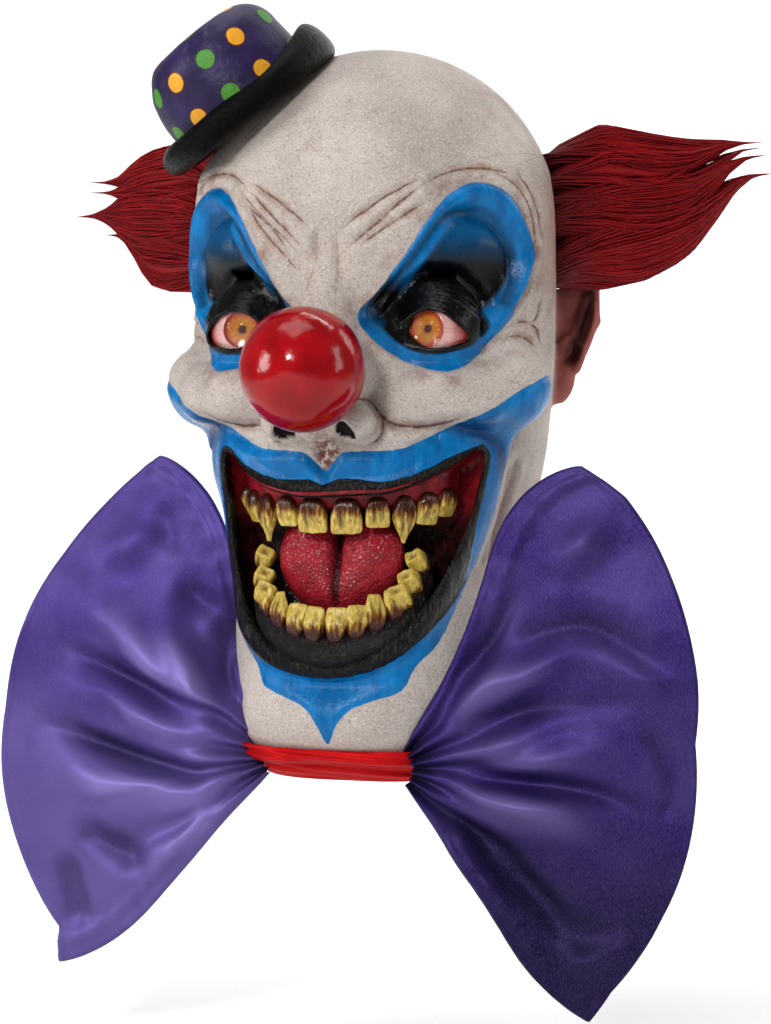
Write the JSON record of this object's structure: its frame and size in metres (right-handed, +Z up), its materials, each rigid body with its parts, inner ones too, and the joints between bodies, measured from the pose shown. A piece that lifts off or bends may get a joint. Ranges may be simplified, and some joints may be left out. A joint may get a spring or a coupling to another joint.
{
  "type": "latex halloween mask",
  "caption": "Full-head hollow latex clown mask with open toothed mouth, resin eyes, nose ball, small hat, hair tufts and a large satin bow at the neck.",
  "frame": {"origin": "middle of the wearer's eye line, inside the head cavity", "axes": "the face looks along -Y, +X is the viewer's right when facing the mask, +Z is up"},
  "size_m": [0.4042, 0.273, 0.5171],
  "materials": {
    "latex": "matte painted latex",
    "nose_gloss": "high gloss",
    "sclera": "gloss",
    "iris": "gloss",
    "cornea": "clear",
    "gum": "wet gloss",
    "mouth_black": "wet gloss",
    "tongue": "wet gloss",
    "tooth": "stained gloss",
    "hat_cloth": "painted latex",
    "brim_felt": "painted latex",
    "foam": "open-cell foam",
    "hair_weft": "woven base",
    "hair": "acrylic fibre",
    "satin_red": "satin",
    "satin_purple": "satin",
    "elastic": "woven elastic"
  },
  "bodies": {
    "root": {"mask_skin": "latex", "nose_ball": "nose_gloss", "eyeball_left": "sclera", "eyeball_right": "sclera", "iris_left": "iris", "iris_right": "iris", "cornea_left": "cornea", "cornea_right": "cornea", "upper_gum": "gum", "lower_gum": "gum", "mouth_liner": "mouth_black", "tongue": "tongue", "upper_incisor_left_1": "tooth", "upper_incisor_left_2": "tooth", "upper_canine_left": "tooth", "upper_premolar_left": "tooth", "upper_molar_left": "tooth", "upper_incisor_right_1": "tooth", "upper_incisor_right_2": "tooth", "upper_canine_right": "tooth", "upper_premolar_right": "tooth", "upper_molar_right": "tooth", "lower_incisor_left_1": "tooth", "lower_incisor_left_2": "tooth", "lower_canine_left": "tooth", "lower_premolar_left": "tooth", "lower_molar_left_1": "tooth", "lower_molar_left_2": "tooth", "lower_molar_left_3": "tooth", "lower_incisor_right_1": "tooth", "lower_incisor_right_2": "tooth", "lower_canine_right": "tooth", "lower_premolar_right": "tooth", "lower_molar_right_1": "tooth", "lower_molar_right_2": "tooth", "lower_molar_right_3": "tooth", "hat_crown": "hat_cloth", "hat_brim": "brim_felt", "hat_core": "foam", "hair_base_left": "hair_weft", "hair_base_right": "hair_weft", "bow_band": "satin_red", "neck_elastic": "elastic"},
    "wing_left": {"wing_left": "satin_purple"},
    "wing_right": {"wing_right": "satin_purple"},
    "tuft_left": {"hair_tuft_left": "hair"},
    "tuft_right": {"hair_tuft_right": "hair"}
  },
  "joints": [
    {"name": "wing_left_flap", "type": "hinge", "parent": "root", "child": "wing_left", "pos_m": [-0.055, -0.084, -0.25], "axis": [0, 0, 1], "range_deg": [-15, 15], "stiffness_Nm_per_rad": 0.12},
    {"name": "wing_right_flap", "type": "hinge", "parent": "root", "child": "wing_right", "pos_m": [0.055, -0.084, -0.25], "axis": [0, 0, 1], "range_deg": [-15, 15], "stiffness_Nm_per_rad": 0.12},
    {"name": "tuft_left_sway", "type": "hinge", "parent": "root", "child": "tuft_left", "pos_m": [-0.103, 0.022, 0.04], "axis": [0, 0, 1], "range_deg": [-12, 12], "stiffness_Nm_per_rad": 0.05},
    {"name": "tuft_right_sway", "type": "hinge", "parent": "root", "child": "tuft_right", "pos_m": [0.103, 0.022, 0.04], "axis": [0, 0, 1], "range_deg": [-12, 12], "stiffness_Nm_per_rad": 0.05}
  ]
}
